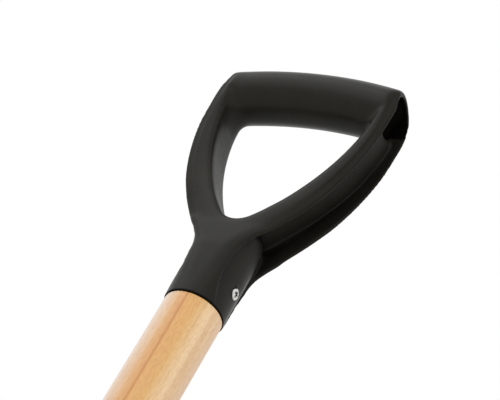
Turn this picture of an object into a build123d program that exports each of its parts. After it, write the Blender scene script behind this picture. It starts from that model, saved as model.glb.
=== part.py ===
"""Garden spade: moulded D-grip, turned ash shaft, rolled steel socket and pressed blade.

Millimetres. The shaft's axis is Z, with the grip at the top and the blade at the
bottom. X is across the crossbar and the blade, and the front of the blade faces -Y.
The origin is on the shaft's axis, in the middle of the straight wood that a tool
clip holds.
"""
import math
import os

from build123d import *

# shaft
shaft_r = 18.0  # straight wood
clip_length = 330.0  # straight wood, from the grip's mouth down to the run-out
run_out = 40.0  # bare taper between the straight wood and the socket
fit_gap = 0.05  # wood in the grip and the socket, and fasteners in their holes

# D-grip, with its heights measured from the mouth of its socket
grip_width = 120.4
rail = 9.5  # width of an arm seen from the front, where the D is widest
mouth_proud = 0.6  # the socket's mouth stands out this far round the wood
tenon_step = 1.4  # and the wood steps in this much
tenon_draft = 0.6  # how much thinner the tenon is at its end
neck_z = 38.0  # the socket ends here and the arms start to leave it
neck_wider = 1.0  # half width over the mouth's radius
neck_deeper = 0.4  # and half depth
neck_corner_r = 14.0  # the section is round at the mouth and square with these corners at the neck
arm_corner_r = 4.0
flare_r = 26.0  # hollow curve from the socket's side into the D's outline
bury = 0.3  # the socket's end lies this far under the arms' faces
bore_depth = 52.0
bore_floor = 8.2  # solid between the bore and the hand hole
end_gap = 1.0  # air past the end of the tenon
wall = 4.2  # crossbar, so that its ends keep a rim inside the bevels
web = 3.0  # between the hand hole and the channels
bar_z = 179.3  # crossbar's axis at the middle
bar_r = 17.2
bar_bow_r = 238.0  # the crossbar is an arch of this radius
bar_proud = 1.6  # it stands this far out of the arms at their thinnest
bar_blend_r = 10.8  # hollow where it runs into the arms
waist_z = 122.0  # the arms are thinnest here
plate_r = 2000.0  # because their front and back are hollow arcs
widest_drop = 19.3  # the D is widest this far below the crossbar's axis
outline_r = 178.4  # each side of the D is an arc of this radius
outline_top_r = 105.0  # and of this one above its widest place
hole_r = 147.4  # the same for the hand hole
hole_low_r = 13.0
hole_edge_r = 2.2
rim_half = 14.0  # half depth of the arms at their outer edge
rim_wall = 1.5  # thickness of their flanges there
bevel = 4.5  # narrow slope along that edge
bevel_drop = 1.2
channel_mouth_half = 8.5  # half width of the side channel at the socket's mouth
channel_neck_half = 15.2
channel_neck_z = 26.0
panel_drop = 0.15  # the socket's side panels are this much inside its mouth
panel_end_r = 8.0

# grip screw
screw_z = 18.4
screw_head_r = 3.5
screw_head_h = 2.2
screw_r = 2.0
screw_length = 19.0
screw_seat = 0.6  # depth of the head's flat seat in the socket's side
seat_gap = 0.3
recess_arm = 1.9
recess_width = 0.9
recess_depth = 1.3

# blade and socket
sheet = 2.0
socket_length = 190.0  # from the socket's mouth to the blade's shoulder
socket_end_r = 15.5  # outside, at the blade's shoulder
socket_step = 0.8  # the wood has lost this much of its radius at the socket's mouth
wood_stop = 22.0  # the wood ends this far above the blade's shoulder
frog_length = 105.0  # the socket's spear below the shoulder
frog_tip_r = 4.0
blade_length = 285.0
blade_top = 190.0
blade_tip = 164.0
blade_corner_r = 14.0
edge_sag = 9.0  # the cutting edge is an arc
dish_r = 640.0  # hollow across the blade
bow_r = 2400.0  # and along it

# treads
tread_thick = 3.0
tread_width = 24.0
tread_end_r = 7.0
tread_gap = 1.5  # between a tread and the socket
tread_overhang = 1.0
tread_edge_r = 0.8

# rivets
rivet_r = 3.0
rivet_head_r = 5.6
rivet_head_h = 2.4
rivet_inset = 22.0  # upper rivet below the socket's mouth
rivet_pitch = 95.0

far = 60.0  # tools that cut right through reach this far
past = 1.0  # and tools with an open end start this far outside what they cut
bar_sweep = 38.0  # degrees of arch on each side, well past the D's outline

grip_z = clip_length / 2
socket_z = -clip_length / 2 - run_out
shoulder_z = socket_z - socket_length
tip_z = shoulder_z - blade_length
socket_wood_r = shaft_r - socket_step
tenon_r = shaft_r - tenon_step
mouth_r = shaft_r + mouth_proud
plate_half = bar_r - bar_proud
screw_seat_x = mouth_r - panel_drop - screw_seat
rivet_heights = [socket_z - rivet_inset, socket_z - rivet_inset - rivet_pitch]

# centres of the arcs: each side of the D and of the hole turns about a point past the middle
outline_x = outline_r - grip_width / 2
outline_z = bar_z - widest_drop
hole_x = hole_r - (grip_width / 2 - rail)
hole_floor_z = bore_depth + bore_floor
hole_z = hole_floor_z + hole_low_r + math.sqrt((hole_r - hole_low_r) ** 2 - hole_x**2)
flare_x = mouth_r + neck_wider + flare_r
flare_z = outline_z - math.sqrt((outline_r + flare_r) ** 2 - (outline_x + flare_x) ** 2)
flare_end_z = flare_z + (outline_z - flare_z) * flare_r / (outline_r + flare_r)
throat_z = hole_floor_z - hole_edge_r  # the socket's section ends here, inside the arms
arms_z = throat_z - 2 * hole_edge_r  # and the arms start here, inside the socket


def turned(points):
    """A solid of revolution about Z from (radius, height) points."""
    with BuildSketch(Plane.XZ) as half:
        with BuildLine():
            Polyline(*points, close=True)
        make_face()
    return revolve(half.sketch, Axis.Z, 360)


def plate_depth(z):
    """Half depth of the arms."""
    return plate_half + plate_r - math.sqrt(plate_r**2 - (z - waist_z) ** 2)


def plate():
    """A block with the arms' front and back faces."""
    low, high = arms_z - wall, bar_z + wall
    with BuildSketch(Plane.YZ) as profile:
        with BuildLine():
            for side in (1, -1):
                ThreePointArc(*[(side * plate_depth(z), z) for z in (low, waist_z, high)])
            for z in (low, high):
                Line((plate_depth(z), z), (-plate_depth(z), z))
        make_face()
    return extrude(profile.sketch, amount=outline_r / 2, both=True)


def arc_x(z):
    """Half width of the D's outline."""
    radius = outline_top_r if z > outline_z else outline_r
    return grip_width / 2 - radius + math.sqrt(radius**2 - (z - outline_z) ** 2)


def side_x(z):
    """Half width of the grip above its neck, where the flare runs into the D."""
    if z < flare_end_z:
        return flare_x - math.sqrt(flare_r**2 - max(z - flare_z, 0) ** 2)
    return arc_x(z)


def bar_rod(r):
    """A round bar along the crossbar's arch."""
    axis = Axis((0, 0, bar_z - bar_bow_r), (0, 1, 0))
    section = Plane.YZ * Pos(0, bar_z, 0) * Circle(r)
    return revolve(section.faces()[0].rotate(axis, -bar_sweep), axis, revolution_arc=2 * bar_sweep)


def under_bar():
    """Everything below the crossbar's axis."""
    section = Plane.XZ * Pos(0, bar_z - bar_bow_r, 0) * Circle(bar_bow_r)
    return extrude(section, amount=far, both=True)


def outline_prism():
    """The D seen from the front, over the arms and the crossbar."""
    low, high = arms_z, bar_z + 2 * bar_r
    stretches = [(low, (low + outline_z) / 2, outline_z), (outline_z, (outline_z + high) / 2, high)]
    with BuildSketch(Plane.XZ) as d:
        with BuildLine():
            for side in (1, -1):
                for heights in stretches:
                    ThreePointArc(*[(side * arc_x(z), z) for z in heights])
            for z in (low, high):
                Line((arc_x(z), z), (-arc_x(z), z))
        make_face()
    return extrude(d.sketch, amount=far, both=True)


def edge_lens(side):
    """A disc about an outline arc's centre, whose sloped margin bevels the arm's outer edges."""
    slope = bevel_drop / bevel
    skirt = 5.0
    clear = 9.0
    inner = outline_r - bevel
    points = [
        (outline_r + skirt, rim_half - slope * skirt),
        (inner, rim_half + bevel_drop),
        (inner - clear, rim_half + bevel_drop + clear),
        (0, rim_half + bevel_drop + clear),
    ]
    with BuildSketch(Plane.XY) as half:
        with BuildLine():
            Polyline(*points, *[(x, -y) for x, y in reversed(points)], close=True)
        make_face()
    return Pos(-side * outline_x, 0, outline_z) * revolve(half.sketch, Axis.Y, 360)


def hole_prism(grow=0.0):
    """The hand hole, open upwards to the crossbar, or with grow the same with its web."""
    with BuildSketch(Plane.XZ) as hole:
        with Locations((-hole_x, hole_z)):
            Circle(hole_r + grow)
        with Locations((hole_x, hole_z)):
            Circle(hole_r + grow, mode=Mode.INTERSECT)
        fillet(hole.vertices().sort_by(Axis.Y)[0], hole_low_r + grow)
    return extrude(hole.sketch, amount=far, both=True)


def off_arch(point):
    """Distance from the crossbar's axis."""
    return math.hypot(math.hypot(point.X, point.Z - bar_z + bar_bow_r) - bar_bow_r, point.Y)


def bar_creases(body, r):
    """The edges where the underside of a bar this large runs into the arms."""
    creases = []
    for edge in body.edges():
        at = edge.center()
        on_bar = all(abs(off_arch(edge @ part) - r) < fit_gap for part in (0.1, 0.5, 0.9))
        if on_bar and at.Z < bar_z - r / 2 and abs(at.X) < arc_x(at.Z) - web:
            creases.append(edge)
    return creases


def arms():
    """The two arms and the crossbar as one D, with rounded edges round the hand hole."""
    body = (plate() & under_bar()) - hole_prism()
    hole_edges = []
    for edge in body.edges():
        at = edge.center()
        if abs(at.Y) > web and hole_floor_z < at.Z < bar_z - bar_r and abs(at.X) < arc_x(at.Z) - web:
            hole_edges.append(edge)
    body = fillet(hole_edges, hole_edge_r)
    body = (body + bar_rod(bar_r)) & outline_prism()
    body = fillet(bar_creases(body, bar_r), bar_blend_r)
    for side in (1, -1):
        body &= edge_lens(side)
    return body


def throat_section(z, half_width, half_depth, corner):
    corner = min(corner, half_depth - 2 * fit_gap)
    return Plane.XY.offset(z) * RectangleRounded(2 * half_width, 2 * half_depth, corner)


def throat():
    """The grip's socket, round at its mouth and growing square, then flaring out into the arms.

    Above the neck its depth eases from the socket's to the arms', and it swells a
    little over them before its end dips under their faces.
    """
    neck_half = mouth_r + neck_deeper
    rows = [throat_section(neck_z, mouth_r + neck_wider, neck_half, neck_corner_r)]
    for share, under in ((1 / 3, 0), (2 / 3, -bury), (1, bury)):
        z = neck_z + (throat_z - neck_z) * share
        left = (1 - share) ** 2 * (1 + 2 * share)
        half = plate_depth(z) + (neck_half - plate_depth(neck_z)) * left
        corner = neck_corner_r + (arm_corner_r - neck_corner_r) * share
        rows.append(throat_section(z, side_x(z) - under, half - under, corner))
    return loft([throat_section(0, mouth_r, mouth_r, mouth_r), rows[0]]) + loft(rows)


def channels():
    """The crossbar's bore, and the open channel that it becomes down each side to the mouth."""
    front = [(channel_mouth_half, -past), (channel_neck_half, channel_neck_z)]
    front += [(rim_half - rim_wall, z) for z in (throat_z, waist_z, (waist_z + bar_z) / 2, bar_z + wall)]
    back = [(-y, z) for y, z in front]
    with BuildSketch(Plane.YZ) as profile:
        with BuildLine():
            Spline(*front)
            Line(front[-1], back[-1])
            Spline(*back)
            Line(back[0], front[0])
        make_face()
    core = extrude(profile.sketch, amount=outline_r / 2, both=True) & under_bar()
    core = core - hole_prism(web) + bar_rod(bar_r - wall)
    creases = [edge for edge in bar_creases(core, bar_r - wall) if abs(edge.center().Y) < web]
    core = fillet(creases, bar_blend_r - wall)
    panels = extrude(Plane.XY.offset(-past) * Circle(mouth_r - panel_drop), amount=hole_floor_z + past)
    return core - fillet(panels.edges().sort_by(Axis.Z)[-1], panel_end_r)


def grip():
    body = arms() + throat() - channels()
    bore_r = tenon_r + fit_gap
    bore = [(0, -past), (bore_r, -past), (bore_r, 0), (bore_r - tenon_draft, bore_depth), (0, bore_depth)]
    body -= turned(bore)
    across = Plane.YZ.offset(screw_seat_x) * Pos(0, screw_z)
    body -= extrude(across * Circle(screw_head_r + seat_gap), amount=far)
    body -= extrude(across * Circle(screw_r + fit_gap), amount=-screw_length)
    return Pos(0, 0, grip_z) * body


def grip_screw():
    """Pan head cross recess screw, into the wood through the side of the grip's socket."""
    at = Plane.YZ.offset(screw_seat_x) * Pos(0, screw_z)
    head = extrude(at * Circle(screw_head_r), amount=screw_head_h)
    head = fillet(head.edges().sort_by(Axis.X)[-1], screw_head_h * 0.7)
    top = Plane.YZ.offset(screw_seat_x + screw_head_h - recess_depth) * Pos(0, screw_z)
    for turn in (0, 90):
        arm = Rot(0, 0, turn) * Rectangle(2 * recess_arm, recess_width)
        head -= extrude(top * arm, amount=screw_head_h)
    shank = extrude(at * Circle(screw_r), amount=-(screw_length - screw_r))
    point = Plane.YZ.offset(screw_seat_x - screw_length + screw_r) * Pos(0, screw_z)
    tip = extrude(point * Circle(screw_r), amount=-screw_r, taper=40)
    return Pos(0, 0, grip_z) * (head + shank + tip)


def wood_r(z):
    """Wood inside the steel socket, which tapers at the socket's own rate."""
    rate = (socket_wood_r + fit_gap + sheet - socket_end_r) / socket_length
    return socket_wood_r - rate * (socket_z - z)


def shaft():
    end_z = shoulder_z + wood_stop
    tenon_z = grip_z + bore_depth - end_gap
    tenon_end_r = tenon_r - tenon_draft * (bore_depth - end_gap) / bore_depth
    body = turned([
        (0, end_z), (wood_r(end_z) - 1, end_z), (wood_r(end_z + 2), end_z + 2), (socket_wood_r, socket_z),
        (shaft_r, -grip_z), (shaft_r, grip_z), (tenon_r, grip_z), (tenon_end_r, tenon_z), (0, tenon_z),
    ])
    pilot = Plane.YZ.offset(screw_seat_x - screw_length - end_gap) * Pos(0, grip_z + screw_z)
    body -= extrude(pilot * Circle(screw_r + fit_gap), amount=screw_length + shaft_r)
    for z in rivet_heights:
        body -= extrude(Plane.XZ * Pos(0, z) * Circle(rivet_r + fit_gap), amount=shaft_r, both=True)
    return body


def socket_profile(inset):
    """The socket's half section, from its mouth to the end of its spear, thinner by inset."""
    end_z = shoulder_z - frog_length + inset
    mouth = socket_wood_r + fit_gap + sheet - inset
    neck = socket_end_r - inset
    over = inset and past
    rate = (mouth - neck) / socket_length
    with BuildSketch(Plane.XZ) as half:
        with BuildLine():
            rim = (mouth + rate * over, socket_z + over)
            Polyline((0, end_z), (0, socket_z + over), rim, (neck, shoulder_z))
            tip = frog_tip_r - inset / 2
            Spline((neck, shoulder_z), (tip, end_z), tangents=[(-rate, -1), (-0.12, -1)])
            Line((tip, end_z), (0, end_z))
        make_face()
    return revolve(half.sketch, Axis.Z, 360)


def blade():
    """A sheet hollowed both ways and cut to the blade's outline."""
    with BuildSketch(Plane.XY.offset(shoulder_z)) as section:
        with Locations((0, -dish_r)):
            Circle(dish_r + sheet / 2)
            Circle(dish_r - sheet / 2, mode=Mode.SUBTRACT)
        with Locations((0, 0)):
            Rectangle(blade_top, blade_top / 2, mode=Mode.INTERSECT)
    axis = Axis((0, -bow_r, shoulder_z), (1, 0, 0))
    angle = math.degrees((blade_length + edge_sag) / bow_r) * 1.1
    body = revolve(section.sketch.faces()[0], axis, revolution_arc=-angle)
    side = [(blade_top / 2, shoulder_z), (blade_tip / 2, tip_z + edge_sag)]
    with BuildSketch(Plane.XZ) as outline:
        with BuildLine():
            Line(*side)
            ThreePointArc(side[1], (0, tip_z), (-side[1][0], side[1][1]))
            Line((-side[1][0], side[1][1]), (-side[0][0], side[0][1]))
            Line((-side[0][0], side[0][1]), side[0])
        make_face()
        fillet(outline.vertices().sort_by(Axis.Y)[:2], blade_corner_r)
    return body & extrude(outline.sketch, amount=far, both=True)


def tread(side):
    """A steel strip that follows the blade's hollow, welded along its top edge."""
    inner = socket_end_r + tread_gap
    outer = blade_top / 2 + tread_overhang
    length = outer - inner
    with BuildSketch(Plane.XY.offset(shoulder_z)) as strip:
        with Locations((0, -dish_r)):
            Circle(dish_r + tread_width / 2)
            Circle(dish_r - tread_width / 2, mode=Mode.SUBTRACT)
        with Locations((side * (inner + length / 2), 0)):
            Rectangle(length, 3 * tread_width, mode=Mode.INTERSECT)
        corners = strip.vertices().sort_by(Axis.X)
        fillet(corners[-2:] if side > 0 else corners[:2], tread_end_r)
    body = extrude(strip.sketch, amount=tread_thick)
    return fillet(body.faces().sort_by(Axis.Z)[-1].edges(), tread_edge_r)


def rivet(z):
    """A rivet through the socket and the wood, with a domed head at the front and back."""
    rate = (socket_wood_r + fit_gap + sheet - socket_end_r) / socket_length
    out = socket_wood_r + fit_gap + sheet - rate * (socket_z - z)
    at = Plane.XZ * Pos(0, z)
    heads = extrude(at * Circle(rivet_head_r), amount=out + rivet_head_h, both=True)
    rims = heads.edges().sort_by(Axis.Y)
    heads = fillet([rims[0], rims[-1]], rivet_head_h * 0.8)
    shank = extrude(at * Circle(rivet_r), amount=out + rivet_head_h / 2, both=True)
    return heads - socket_profile(0) + shank


def steel_socket(blade_solid):
    body = socket_profile(0) - socket_profile(sheet) - blade_solid
    for z in rivet_heights:
        body -= extrude(Plane.XZ * Pos(0, z) * Circle(rivet_r + fit_gap), amount=far, both=True)
    return body


def main():
    os.makedirs("parts", exist_ok=True)
    blade_solid = blade()
    nodes = {
        "grip": grip(),
        "grip_screw": grip_screw(),
        "shaft": shaft(),
        "socket": steel_socket(blade_solid),
        "blade": blade_solid,
        "tread_right": tread(1),
        "tread_left": tread(-1),
        "rivet_upper": rivet(rivet_heights[0]),
        "rivet_lower": rivet(rivet_heights[1]),
    }
    for name, solid in nodes.items():
        export_step(solid, f"parts/{name}.step")


if __name__ == "__main__":
    main()
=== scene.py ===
import bpy
import bmesh
import math
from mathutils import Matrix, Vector, kdtree


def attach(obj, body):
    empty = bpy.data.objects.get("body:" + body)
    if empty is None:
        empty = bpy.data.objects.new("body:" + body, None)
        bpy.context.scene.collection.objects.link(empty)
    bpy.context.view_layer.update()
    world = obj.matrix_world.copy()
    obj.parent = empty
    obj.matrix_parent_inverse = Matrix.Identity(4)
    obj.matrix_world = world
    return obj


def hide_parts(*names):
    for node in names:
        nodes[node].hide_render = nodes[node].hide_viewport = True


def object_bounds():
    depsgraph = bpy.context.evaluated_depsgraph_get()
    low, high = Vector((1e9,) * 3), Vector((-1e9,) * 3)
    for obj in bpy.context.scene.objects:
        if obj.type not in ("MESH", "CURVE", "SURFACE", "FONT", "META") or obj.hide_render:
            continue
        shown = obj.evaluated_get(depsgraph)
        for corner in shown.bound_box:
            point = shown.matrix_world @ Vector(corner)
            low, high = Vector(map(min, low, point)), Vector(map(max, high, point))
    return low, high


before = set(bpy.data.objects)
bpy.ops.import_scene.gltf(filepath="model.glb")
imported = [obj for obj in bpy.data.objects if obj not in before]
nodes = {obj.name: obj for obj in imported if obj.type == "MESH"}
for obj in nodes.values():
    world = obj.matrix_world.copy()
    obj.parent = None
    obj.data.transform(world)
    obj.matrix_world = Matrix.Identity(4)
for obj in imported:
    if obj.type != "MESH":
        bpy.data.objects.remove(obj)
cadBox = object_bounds()
print("stage 1: frame loaded with", len(nodes), "CAD nodes")

mm = 0.001


def hexToLinear(code):
    # sRGB hex to the linear colour that the shaders take
    channels = [int(code[i:i + 2], 16) / 255 for i in (1, 3, 5)]
    return (*[c / 12.92 if c <= 0.04045 else ((c + 0.055) / 1.055) ** 2.4 for c in channels], 1.0)


def addNode(tree, kind, settings=None, inputs=None):
    # settings are the node's own properties; an input is a value, or an output socket to link.
    # A colour mix takes its share at 0 and its colours at 6 and 7, and gives its result at 2.
    node = tree.nodes.new(kind)
    for name, value in (settings or {}).items():
        setattr(node, name, value)
    for name, value in (inputs or {}).items():
        if isinstance(value, bpy.types.NodeSocket):
            tree.links.new(value, node.inputs[name])
        else:
            node.inputs[name].default_value = value
    return node


def startMaterial(name):
    material = bpy.data.materials.new(name)
    material.use_nodes = True
    tree = material.node_tree
    tree.nodes.clear()
    shader = addNode(tree, "ShaderNodeBsdfPrincipled")
    addNode(tree, "ShaderNodeOutputMaterial", inputs={"Surface": shader.outputs[0]})
    return material, tree, shader


def objectSpace(tree, scale=(1, 1, 1)):
    # the piece's own coordinates; a small scale draws a pattern out along that axis
    place = addNode(tree, "ShaderNodeTexCoord")
    return addNode(tree, "ShaderNodeMapping", inputs={
        "Vector": place.outputs["Object"], "Scale": scale}).outputs[0]


def rampOf(tree, factor, stops):
    # each stop is a position with its sRGB hex colour or its grey level
    ramp = addNode(tree, "ShaderNodeValToRGB", inputs={"Fac": factor})
    elements = ramp.color_ramp.elements
    while len(elements) < len(stops):
        elements.new(0.5)
    for element, (position, colour) in zip(elements, stops):
        element.position = position
        element.color = hexToLinear(colour) if isinstance(colour, str) else (colour, colour, colour, 1)
    return ramp.outputs["Color"]


def addObject(name, data):
    holder = bpy.data.objects.new(name, data)
    bpy.context.scene.collection.objects.link(holder)
    return holder


# Grip: black polypropylene, injection moulded. The mould's fine spark-eroded grain takes the
# gloss down to a soft satin, and flow and handling leave it very slightly uneven. The lip round
# the socket's mouth, the hollows and the ends of the crossbar's bore get painted shade, near black
# and without reflection, and the reflection is turned down at the arms' outer edges as painted
# shade. Places are in the part's own frame.
mouldedPolypropylene = {
    "shades": [(0.35, "#1f1e1a"), (0.75, "#25241f")],   # as moulded, and worn
    "paintedShade": "#0a0908",                  # painted shade, on the lip round the socket's mouth and in the hollows
    "ior": 1.49,
    "roughness": (0.28, 0.34),
    "cloud": 22 * mm,
    "cloudRange": (0.3, 0.7),
    "grain": 0.55 * mm,                 # real grain is about 0.15 mm: drawn coarser so that it shows
    "grainHeight": 0.02 * mm,
    "drag": 1.1 * mm,                   # marks that the mould dragged on the steep walls
    "draw": 0.08,                       # drawn out this much along the pull
    "steep": (0.15, 0.5),               # how far such a wall's normal may lean towards the pull
    "dragRoughness": 0.13,
    "dragHeight": 0.14 * mm,
    "lip": (165.4 * mm, 166.9 * mm),    # the lip round the socket's mouth ends between these heights
    "reach": 25 * mm,                   # hollows are felt this far round
    "openness": (0.3, 0.7),             # and their painted shade clears between these shares of open sky
    "boreCentre": (0, 0, 338 * mm),     # the crossbar's bore gets painted shade too, at its open ends,
    "bore": (13.2 * mm, 13.8 * mm),     # which fades out between these radii, just past its wall,
    "boreEnd": (46 * mm, 49 * mm),      # and in between these distances to the side
    "specular": 0.12,                   # reflection strength over most of the grip
    "edgeSpecular": 0.06,               # and at the arms' outer edge, turned down as painted shade
    "edgeCentre": (-118.2 * mm, 0, 325 * mm),   # of the right arm's arc; the left one mirrors it
    "edge": (164 * mm, 174 * mm),       # distances from there between which the reflection fades
    "armFoot": (215 * mm, 240 * mm),    # and heights between which that starts
}


def makeMouldedPolypropylene(look):
    material, tree, shader = startMaterial("mouldedPolypropylene")
    space = objectSpace(tree)
    spot = addNode(tree, "ShaderNodeSeparateXYZ", inputs={0: space})
    cloud = addNode(tree, "ShaderNodeTexNoise", inputs={
        "Vector": space, "Scale": 1 / look["cloud"], "Detail": 4.0, "Roughness": 0.6})
    grain = addNode(tree, "ShaderNodeTexNoise", inputs={
        "Vector": space, "Scale": 1 / look["grain"], "Detail": 2.0, "Roughness": 0.5})
    colour = rampOf(tree, cloud.outputs[0], look["shades"])
    satin = addNode(tree, "ShaderNodeMapRange", inputs={
        "Value": cloud.outputs[0],
        "From Min": look["cloudRange"][0], "From Max": look["cloudRange"][1],
        "To Min": look["roughness"][0], "To Max": look["roughness"][1]})

    # drag marks on the steep walls, over the grain
    drag = addNode(tree, "ShaderNodeTexNoise", inputs={
        "Vector": objectSpace(tree, (1, look["draw"], 1)), "Scale": 1 / look["drag"], "Detail": 3.0})
    place = addNode(tree, "ShaderNodeTexCoord")
    facing = addNode(tree, "ShaderNodeSeparateXYZ", inputs={0: place.outputs["Normal"]})
    slope = addNode(tree, "ShaderNodeMath", {"operation": "ABSOLUTE"}, {0: facing.outputs["Y"]})
    steep = addNode(tree, "ShaderNodeMapRange", {"interpolation_type": "SMOOTHSTEP"}, {
        "Value": slope.outputs[0], "From Min": look["steep"][1], "From Max": look["steep"][0]})
    rough = addNode(tree, "ShaderNodeMath", {"operation": "MULTIPLY_ADD"}, {
        0: steep.outputs[0], 1: look["dragRoughness"], 2: satin.outputs[0]})
    grainBump = addNode(tree, "ShaderNodeBump", inputs={
        "Height": grain.outputs[0], "Distance": look["grainHeight"], "Strength": 1.0})
    bump = addNode(tree, "ShaderNodeBump", inputs={
        "Height": drag.outputs[0], "Distance": look["dragHeight"], "Strength": steep.outputs[0],
        "Normal": grainBump.outputs[0]})

    # this mask is 0 where shade is painted: on the lip round the mouth, in the hollows and in the ends
    # of the bore; it is 1 elsewhere
    pastLip = addNode(tree, "ShaderNodeMapRange", inputs={
        "Value": spot.outputs["Z"], "From Min": look["lip"][0], "From Max": look["lip"][1]})
    sky = addNode(tree, "ShaderNodeAmbientOcclusion", {"samples": 8}, {"Distance": look["reach"]})
    unhollowed = addNode(tree, "ShaderNodeMapRange", {"interpolation_type": "SMOOTHSTEP"}, {
        "Value": sky.outputs["AO"], "From Min": look["openness"][0], "From Max": look["openness"][1]})
    fromBore = addNode(tree, "ShaderNodeVectorMath", {"operation": "DISTANCE"}, {
        0: objectSpace(tree, (0, 1, 1)), 1: look["boreCentre"]})
    pastWall = addNode(tree, "ShaderNodeMapRange", inputs={
        "Value": fromBore.outputs["Value"], "From Min": look["bore"][0], "From Max": look["bore"][1]})
    aside = addNode(tree, "ShaderNodeMath", {"operation": "ABSOLUTE"}, {0: spot.outputs["X"]})
    beforeEnd = addNode(tree, "ShaderNodeMapRange", inputs={
        "Value": aside.outputs[0], "From Min": look["boreEnd"][1], "From Max": look["boreEnd"][0]})
    unbored = addNode(tree, "ShaderNodeMath", {"operation": "MAXIMUM"}, {
        0: pastWall.outputs[0], 1: beforeEnd.outputs[0]})
    exposed = addNode(tree, "ShaderNodeMath", {"operation": "MULTIPLY"}, {
        0: pastLip.outputs[0], 1: unhollowed.outputs[0]})
    unshaded = addNode(tree, "ShaderNodeMath", {"operation": "MULTIPLY"}, {
        0: exposed.outputs[0], 1: unbored.outputs[0]})
    # painted shade: the colour goes near black where the mask is 0
    shadePainted = addNode(tree, "ShaderNodeMix", {"data_type": "RGBA"}, {
        0: unshaded.outputs[0], 6: hexToLinear(look["paintedShade"]), 7: colour})

    # reflection strength, turned down towards the arms' outer edge as painted shade, and to none where
    # the colour is painted dark as shade
    mirrored = addNode(tree, "ShaderNodeCombineXYZ", inputs={0: aside.outputs[0], 2: spot.outputs["Z"]})
    fromCentre = addNode(tree, "ShaderNodeVectorMath", {"operation": "DISTANCE"}, {
        0: mirrored.outputs[0], 1: look["edgeCentre"]})
    edge = addNode(tree, "ShaderNodeMapRange", inputs={
        "Value": fromCentre.outputs["Value"], "From Min": look["edge"][0], "From Max": look["edge"][1]})
    arm = addNode(tree, "ShaderNodeMapRange", inputs={
        "Value": spot.outputs["Z"], "From Min": look["armFoot"][0], "From Max": look["armFoot"][1]})
    armEdge = addNode(tree, "ShaderNodeMath", {"operation": "MULTIPLY"}, {
        0: edge.outputs[0], 1: arm.outputs[0]})
    edgeShadedSpecular = addNode(tree, "ShaderNodeMapRange", inputs={
        "Value": armEdge.outputs[0], "To Min": look["specular"], "To Max": look["edgeSpecular"]})
    shine = addNode(tree, "ShaderNodeMath", {"operation": "MULTIPLY"}, {
        0: unshaded.outputs[0], 1: edgeShadedSpecular.outputs[0]})

    tree.links.new(shadePainted.outputs[2], shader.inputs["Base Color"])
    tree.links.new(shine.outputs[0], shader.inputs["Specular IOR Level"])
    tree.links.new(rough.outputs[0], shader.inputs["Roughness"])
    tree.links.new(bump.outputs[0], shader.inputs["Normal"])
    shader.inputs["IOR"].default_value = look["ior"]
    return material


# Shaft: ash, turned and sanded, under clear lacquer. The growth bands run right through the
# wood as soft planes: pinkish sapwood at one side, then golden heartwood with a darker line in
# it, then cream. Fine rings and short pores fleck it, and the lacquer lays a low, even sheen
# over all.
lacqueredAsh = {
    "bands": [(0.0, "#e8d4c2"), (0.16, "#d8a66c"), (0.245, "#d69c5b"), (0.27, "#bf7d36"),
              (0.3, "#dba560"), (0.5, "#e2b26f"), (0.7, "#f5d4a6"), (1.0, "#e3be97")],
    "across": (0.822, 0.57, 0),         # the bands follow one another in this direction
    "width": 34.6 * mm,
    "wander": 3.0 * mm,                 # how far the bands stray from true planes
    "wanderSize": 10 * mm,
    "wanderDraw": 0.08,                 # drawn out this much along the shaft
    "late": "#c98f4c",                  # late wood in the rings
    "ring": 2.6 * mm,
    "ringDraw": 0.02,
    "ringMask": [(0.45, 0.0), (0.7, 0.28)],
    "pore": 0.42 * mm,                  # ash pores are about 0.3 mm: drawn coarser so that they show
    "poreDraw": 0.12,
    "poreMask": [(0.36, 0.55), (0.54, 0.0)],
    "poreShade": "#e4cfb6",
    "poreHeight": 0.015 * mm,
    "ior": 1.5,
    "roughness": 0.45,
    "coat": 0.35,
    "coatRoughness": 0.25,
}


def makeLacqueredAsh(look):
    material, tree, shader = startMaterial("lacqueredAsh")
    broad = addNode(tree, "ShaderNodeTexNoise", inputs={
        "Vector": objectSpace(tree, (1, 1, look["wanderDraw"])),
        "Scale": 1 / look["wanderSize"], "Detail": 3.0})
    pores = addNode(tree, "ShaderNodeTexNoise", inputs={
        "Vector": objectSpace(tree, (1, 1, look["poreDraw"])), "Scale": 1 / look["pore"], "Detail": 4.0})
    rings = addNode(tree, "ShaderNodeTexNoise", inputs={
        "Vector": objectSpace(tree, (1, 1, look["ringDraw"])), "Scale": 1 / look["ring"], "Detail": 2.0})

    # share is how far across the wood a point lies, from 0 at the sapwood's side to 1
    across = addNode(tree, "ShaderNodeVectorMath", {"operation": "DOT_PRODUCT"}, {
        0: objectSpace(tree), 1: look["across"]})
    sway = look["wander"] / look["width"]
    wander = addNode(tree, "ShaderNodeMath", {"operation": "MULTIPLY_ADD"}, {
        0: broad.outputs[0], 1: sway, 2: 0.5 - sway / 2})
    share = addNode(tree, "ShaderNodeMath", {"operation": "MULTIPLY_ADD"}, {
        0: across.outputs["Value"], 1: 1 / look["width"], 2: wander.outputs[0]})
    bands = rampOf(tree, share.outputs[0], look["bands"])
    ringed = addNode(tree, "ShaderNodeMix", {"data_type": "RGBA"}, {
        0: rampOf(tree, rings.outputs[0], look["ringMask"]), 6: bands, 7: hexToLinear(look["late"])})
    flecked = addNode(tree, "ShaderNodeMix", {"data_type": "RGBA", "blend_type": "MULTIPLY"}, {
        0: rampOf(tree, pores.outputs[0], look["poreMask"]), 6: ringed.outputs[2],
        7: hexToLinear(look["poreShade"])})
    bump = addNode(tree, "ShaderNodeBump", inputs={
        "Height": pores.outputs[0], "Distance": look["poreHeight"], "Strength": 1.0})
    tree.links.new(flecked.outputs[2], shader.inputs["Base Color"])
    tree.links.new(bump.outputs[0], shader.inputs["Normal"])
    shader.inputs["Roughness"].default_value = look["roughness"]
    shader.inputs["IOR"].default_value = look["ior"]
    shader.inputs["Coat Weight"].default_value = look["coat"]
    shader.inputs["Coat Roughness"].default_value = look["coatRoughness"]
    return material
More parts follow.
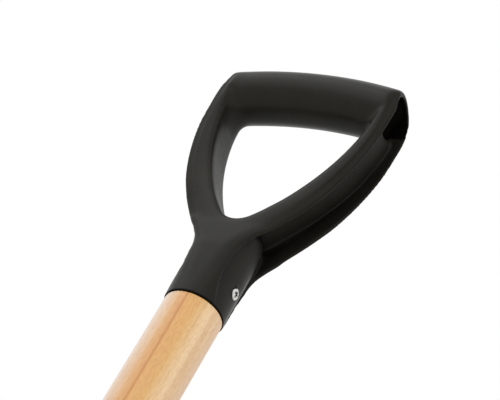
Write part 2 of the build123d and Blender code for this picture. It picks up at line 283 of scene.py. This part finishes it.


# Grip screw: steel, zinc plated. Bright and slightly cloudy, with painted shade: near black where the
# driver's recess shuts the light out.
zincPlatedSteel = {
    "shades": [(0.45, "#2a2422"), (0.8, "#d2d0cd")],    # painted shade, then the plating's own colour, by share of open sky
    "reach": 1.4 * mm,
    "roughness": (0.16, 0.34),
    "cloud": 1.6 * mm,
}


def makeZincPlatedSteel(look):
    material, tree, shader = startMaterial("zincPlatedSteel")
    cloud = addNode(tree, "ShaderNodeTexNoise", inputs={
        "Vector": objectSpace(tree), "Scale": 1 / look["cloud"], "Detail": 4.0})
    rough = addNode(tree, "ShaderNodeMapRange", inputs={
        "Value": cloud.outputs[0], "To Min": look["roughness"][0], "To Max": look["roughness"][1]})
    sky = addNode(tree, "ShaderNodeAmbientOcclusion", inputs={"Distance": look["reach"]})
    # painted shade: dark where the recess shuts out the open sky
    colour = rampOf(tree, sky.outputs["AO"], look["shades"])
    tree.links.new(rough.outputs[0], shader.inputs["Roughness"])
    tree.links.new(colour, shader.inputs["Base Color"])
    shader.inputs["Metallic"].default_value = 1.0
    return material


# Socket, blade and treads: carbon steel under baked epoxy powder coat with a hammered skin.
# The skin's small round dimples break up the gloss.
epoxyCoatedSteel = {
    "shades": [(0.35, "#24272a"), (0.8, "#34383b")],
    "cloud": 30 * mm,
    "dimple": 2.4 * mm,
    "dimpleDepth": 0.10 * mm,
    "roughness": 0.38,
    "ior": 1.55,
}


def makeEpoxyCoatedSteel(look):
    material, tree, shader = startMaterial("epoxyCoatedSteel")
    space = objectSpace(tree)
    dimples = addNode(tree, "ShaderNodeTexVoronoi", {"feature": "SMOOTH_F1"}, {
        "Vector": space, "Scale": 1 / look["dimple"], "Smoothness": 0.6})
    cloud = addNode(tree, "ShaderNodeTexNoise", inputs={
        "Vector": space, "Scale": 1 / look["cloud"], "Detail": 5.0})
    colour = rampOf(tree, cloud.outputs[0], look["shades"])
    bump = addNode(tree, "ShaderNodeBump", inputs={
        "Height": dimples.outputs[0], "Distance": look["dimpleDepth"], "Strength": 1.0})
    tree.links.new(colour, shader.inputs["Base Color"])
    tree.links.new(bump.outputs[0], shader.inputs["Normal"])
    shader.inputs["Roughness"].default_value = look["roughness"]
    shader.inputs["IOR"].default_value = look["ior"]
    return material


# Rivets: mild steel, cold headed and left plain. A dull grey sheen.
mildSteel = {"colour": "#a8a7a4", "roughness": (0.3, 0.5), "cloud": 2.5 * mm}


def makeMildSteel(look):
    material, tree, shader = startMaterial("mildSteel")
    cloud = addNode(tree, "ShaderNodeTexNoise", inputs={
        "Vector": objectSpace(tree), "Scale": 1 / look["cloud"], "Detail": 4.0})
    rough = addNode(tree, "ShaderNodeMapRange", inputs={
        "Value": cloud.outputs[0], "To Min": look["roughness"][0], "To Max": look["roughness"][1]})
    tree.links.new(rough.outputs[0], shader.inputs["Roughness"])
    shader.inputs["Base Color"].default_value = hexToLinear(look["colour"])
    shader.inputs["Metallic"].default_value = 1.0
    return material


def dressNodes():
    looks = {
        "grip": makeMouldedPolypropylene(mouldedPolypropylene),
        "grip_screw": makeZincPlatedSteel(zincPlatedSteel),
        "shaft": makeLacqueredAsh(lacqueredAsh),
        "socket": makeEpoxyCoatedSteel(epoxyCoatedSteel),
        "rivet_upper": makeMildSteel(mildSteel),
    }
    looks.update({name: looks["socket"] for name in ("blade", "tread_left", "tread_right")})
    looks["rivet_lower"] = looks["rivet_upper"]
    for name, material in looks.items():
        nodes[name].data.materials.clear()
        nodes[name].data.materials.append(material)


dressNodes()
print("stage 2: CAD nodes dressed")


# Grip: the moulding's faces run into each other more softly than the plain solid's do, and no
# rim is knife sharp. A zone is relaxed most at its middle and fades out over its reach. Heights
# are from the mouth of the grip's socket.
moulding = {
    "mouth": 165 * mm,
    "voxel": 0.7 * mm,
    "pull": 0.5,                        # share of the way that one pass moves a point
    "rimPasses": 3,                     # everywhere, which rounds the rims by about half a millimetre
    "zonePasses": 200,                  # each as strong as the zone is at that point
    "bands": {
        "throat": {"height": 56 * mm, "reach": 36 * mm, "strength": 0.5},
        "panel": {"height": 26 * mm, "reach": 22 * mm, "strength": 0.06},
    },
    "spots": {
        "corner": {"across": 47.5 * mm, "height": 150 * mm, "reach": 20 * mm, "strength": 0.2},
        "crown": {"across": 49 * mm, "height": 184 * mm, "reach": 20 * mm, "strength": 0.5},
    },
    # the hand hole's wall swells inwards and its edges roll over in a wide round
    "hole": {
        "centre": 125 * mm,
        "facing": 0.6,                  # the wall faces the centre at least this squarely
        "steep": 0.35,                  # and the front or back no more than this
        "bar": 145 * mm,                # the crossbar's underside, from here up,
        "barHalf": 40 * mm,             # is left out this far to either side
        "top": (142 * mm, 166 * mm),    # swell and round fade out between these heights
        "away": -0.3,                   # points that face away more than this stay
        "swell": 2.3 * mm,
        "reach": 14 * mm,
        "rollReach": 10 * mm,
        "core": 5 * mm,                 # no round this near to the wall's middle
    },
}


def fade(distance, reach):
    # 1 at no distance, falling smoothly to 0 at the reach
    share = max(0.0, 1.0 - distance / reach)
    return share * share * (3 - 2 * share)


def applyModifiers(piece):
    depsgraph = bpy.context.evaluated_depsgraph_get()
    done = bpy.data.meshes.new_from_object(piece.evaluated_get(depsgraph), depsgraph=depsgraph)
    piece.modifiers.clear()
    piece.data = done


def remeshGrip(settings):
    # an even mesh, laid on the solid's surface again
    skin = addObject("gripMoulding", nodes["grip"].data.copy())
    remesh = skin.modifiers.new("remesh", "REMESH")
    remesh.mode = "VOXEL"
    remesh.voxel_size = settings["voxel"]
    seat = skin.modifiers.new("seat", "SHRINKWRAP")
    seat.target = nodes["grip"]
    seat.wrap_method = "NEAREST_SURFACEPOINT"
    rims = skin.modifiers.new("rims", "SMOOTH")
    rims.iterations = settings["rimPasses"]
    rims.factor = settings["pull"]
    applyModifiers(skin)
    return skin


def zoneWeight(across, height, settings):
    weight = 0.0
    for zone in settings["bands"].values():
        weight = max(weight, zone["strength"] * fade(abs(height - zone["height"]), zone["reach"]))
    for zone in settings["spots"].values():
        away = math.hypot(across - zone["across"], height - zone["height"])
        weight = max(weight, zone["strength"] * fade(away, zone["reach"]))
    return weight


def findWall(points, facing, settings):
    # a search tree of the points on the hand hole's wall
    hole = settings["hole"]
    bar, top = (settings["mouth"] + height for height in (hole["bar"], hole["top"][1]))
    wall = [point.co for point, face in zip(points, facing)
            if face > hole["facing"] and abs(point.normal.y) < hole["steep"] and point.co.z < top
            and (point.co.z < bar or abs(point.co.x) > hole["barHalf"])]
    tree = kdtree.KDTree(len(wall))
    for index, place in enumerate(wall):
        tree.insert(place, index)
    tree.balance()
    return tree


def softenGrip(settings):
    skin = remeshGrip(settings)
    points = skin.data.vertices
    hole = settings["hole"]
    centre = settings["mouth"] + hole["centre"]
    low, high = (settings["mouth"] + height for height in hole["top"])
    inwards = [Vector((-point.co.x, 0, centre - point.co.z)).normalized() for point in points]
    facing = [point.normal.dot(inward) for point, inward in zip(points, inwards)]
    wall = findWall(points, facing, settings)
    group = skin.vertex_groups.new(name="soft")
    moves = []
    for point, inward, face in zip(points, inwards, facing):
        x, y, z = point.co
        weight = zoneWeight(abs(x), z - settings["mouth"], settings)
        if face > hole["away"]:
            away = wall.find(point.co)[2]
            share = 1 - fade(high - z, high - low)
            moves.append((point, inward * hole["swell"] * share * fade(away, hole["reach"])))
            if abs(y) > hole["core"]:
                weight = max(weight, share * fade(away, hole["rollReach"]))
        group.add([point.index], weight, "REPLACE")
    for point, move in moves:
        point.co += move
    relax = skin.modifiers.new("relax", "SMOOTH")
    relax.iterations = settings["zonePasses"]
    relax.factor = settings["pull"]
    relax.vertex_group = "soft"
    applyModifiers(skin)
    for polygon in skin.data.polygons:
        polygon.use_smooth = True
    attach(skin, "root")
    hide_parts("grip")
    return skin


# Screw head: pressed nearly flush, with the driver's cross recess flared wide at its face. It
# faces the right side, so seat and face are distances from the shaft's axis.
recess = {
    "height": 183.4 * mm,
    "seat": 17.85 * mm,
    "flatten": 0.55,
    "face": 19.06 * mm,
    "depth": 1.6 * mm,
    "arm": 2.5 * mm,                    # half the length of the cross
    "half": 0.8 * mm,                   # half the width of its arms
    "taper": 0.5,                       # size of its floor against its face
    "past": 0.2 * mm,                   # the cutter starts this far outside the face
    "weld": 0.001 * mm,
}


def makeCutter(settings):
    arm, half = settings["arm"], settings["half"]
    cross = [(half, half), (arm, half), (arm, -half), (half, -half), (half, -arm), (-half, -arm),
             (-half, -half), (-arm, -half), (-arm, half), (-half, half), (-half, arm), (half, arm)]
    floor = settings["face"] - settings["depth"]
    outside = settings["face"] + settings["past"]
    points = []
    for x, size in ((floor, settings["taper"]), (outside, 1)):
        points += [(x, y * size, z * size + settings["height"]) for y, z in cross]
    count = len(cross)
    faces = [[i, (i + 1) % count, (i + 1) % count + count, i + count] for i in range(count)]
    faces += [list(range(count))[::-1], list(range(count, 2 * count))]
    mesh = bpy.data.meshes.new("cutter")
    mesh.from_pydata(points, [], faces)
    edit = bmesh.new()
    edit.from_mesh(mesh)
    bmesh.ops.recalc_face_normals(edit, faces=edit.faces)
    edit.to_mesh(mesh)
    edit.free()
    return addObject("cutter", mesh)


def flareRecess(settings):
    mesh = nodes["grip_screw"].data.copy()
    edit = bmesh.new()
    edit.from_mesh(mesh)
    bmesh.ops.remove_doubles(edit, verts=edit.verts, dist=settings["weld"])
    for vertex in edit.verts:
        over = vertex.co.x - settings["seat"]
        if over > 0:
            vertex.co.x = settings["seat"] + over * settings["flatten"]
    edit.to_mesh(mesh)
    edit.free()
    skin = addObject("gripScrewHead", mesh)
    cutter = makeCutter(settings)
    cut = skin.modifiers.new("recess", "BOOLEAN")
    cut.operation = "DIFFERENCE"
    cut.solver = "EXACT"
    cut.object = cutter
    applyModifiers(skin)
    bpy.data.objects.remove(cutter)
    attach(skin, "root")
    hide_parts("grip_screw")


gripMoulding = softenGrip(moulding)
flareRecess(recess)
print("stage 3: grip's skin relaxed,", len(gripMoulding.data.polygons), "faces")

# Camera: a long lens, low and to the right, looking up at the grip. Millimetres and degrees.
camera = {
    "place": (482.06, -703.58, -375.15),
    "turn": (130.63, -24.431, 15.222),
    "lens": 129.58,
    "sensor": 36,
    "near": 10,
}


def placeCamera(settings):
    data = bpy.data.cameras.new("camera")
    data.lens = settings["lens"]
    data.sensor_width = settings["sensor"]
    data.clip_start = settings["near"] * mm
    holder = addObject("camera", data)
    holder.location = [length * mm for length in settings["place"]]
    holder.rotation_euler = [math.radians(angle) for angle in settings["turn"]]
    bpy.context.scene.camera = holder


# Studio: white all round, a large soft lamp above to the left and a smaller one in front. Metres.
studio = {
    "white": (1, 1, 1, 1),
    "fill": 0.92,                       # strength of the light from all round
    "lamps": {
        "key": {"from": (-0.75, -0.95, 1.15), "size": (1.3, 1.3), "power": 5.2},
        "low": {"from": (0.15, -1.4, 0.71), "size": (0.9, 0.5), "power": 1.6},
    },
    "aim": (0, 0, 0.2),
}


def lightStudio(settings):
    # seen directly, in a gloss or through glass it is pure white; what lights the part is the fill
    scene = bpy.context.scene
    world = bpy.data.worlds.new("whiteStudio")
    scene.world = world
    world.use_nodes = True
    tree = world.node_tree
    tree.nodes.clear()
    path = addNode(tree, "ShaderNodeLightPath")
    seen = addNode(tree, "ShaderNodeMath", {"operation": "MAXIMUM"}, {
        0: path.outputs["Is Camera Ray"], 1: path.outputs["Is Glossy Ray"]})
    seenThrough = addNode(tree, "ShaderNodeMath", {"operation": "MAXIMUM"}, {
        0: seen.outputs[0], 1: path.outputs["Is Transmission Ray"]})
    shown = addNode(tree, "ShaderNodeBackground", inputs={
        "Color": settings["white"], "Strength": 1.0})
    fill = addNode(tree, "ShaderNodeBackground", inputs={
        "Color": settings["white"], "Strength": settings["fill"]})
    mixed = addNode(tree, "ShaderNodeMixShader", inputs={
        0: seenThrough.outputs[0], 1: fill.outputs[0], 2: shown.outputs[0]})
    addNode(tree, "ShaderNodeOutputWorld", inputs={"Surface": mixed.outputs[0]})
    aim = Vector(settings["aim"])
    for name, lamp in settings["lamps"].items():
        data = bpy.data.lights.new(name, "AREA")
        data.shape = "RECTANGLE"
        data.size, data.size_y = lamp["size"]
        data.energy = lamp["power"]
        holder = addObject(name, data)
        holder.location = lamp["from"]
        holder.rotation_euler = (aim - holder.location).to_track_quat("-Z", "Y").to_euler()
    scene.view_settings.view_transform = "Standard"


# Floor: pale board, painted matt, which takes a soft shadow and shows no reflection. Metres.
paleFloor = {"colour": "#eeeeec", "half": 6.0, "roughness": 0.9, "specular": 0.1}


def layFloor(settings):
    low, half = cadBox[0][2], settings["half"]
    corners = [(-half, -half, low), (half, -half, low), (half, half, low), (-half, half, low)]
    mesh = bpy.data.meshes.new("floor")
    mesh.from_pydata(corners, [], [(0, 1, 2, 3)])
    floor = addObject("floor", mesh)
    material, _, shader = startMaterial("paleFloor")
    shader.inputs["Base Color"].default_value = hexToLinear(settings["colour"])
    shader.inputs["Roughness"].default_value = settings["roughness"]
    shader.inputs["Specular IOR Level"].default_value = settings["specular"]
    mesh.materials.append(material)


placeCamera(camera)
lightStudio(studio)
layFloor(paleFloor)
print("stage 4: camera, lamps and floor placed")
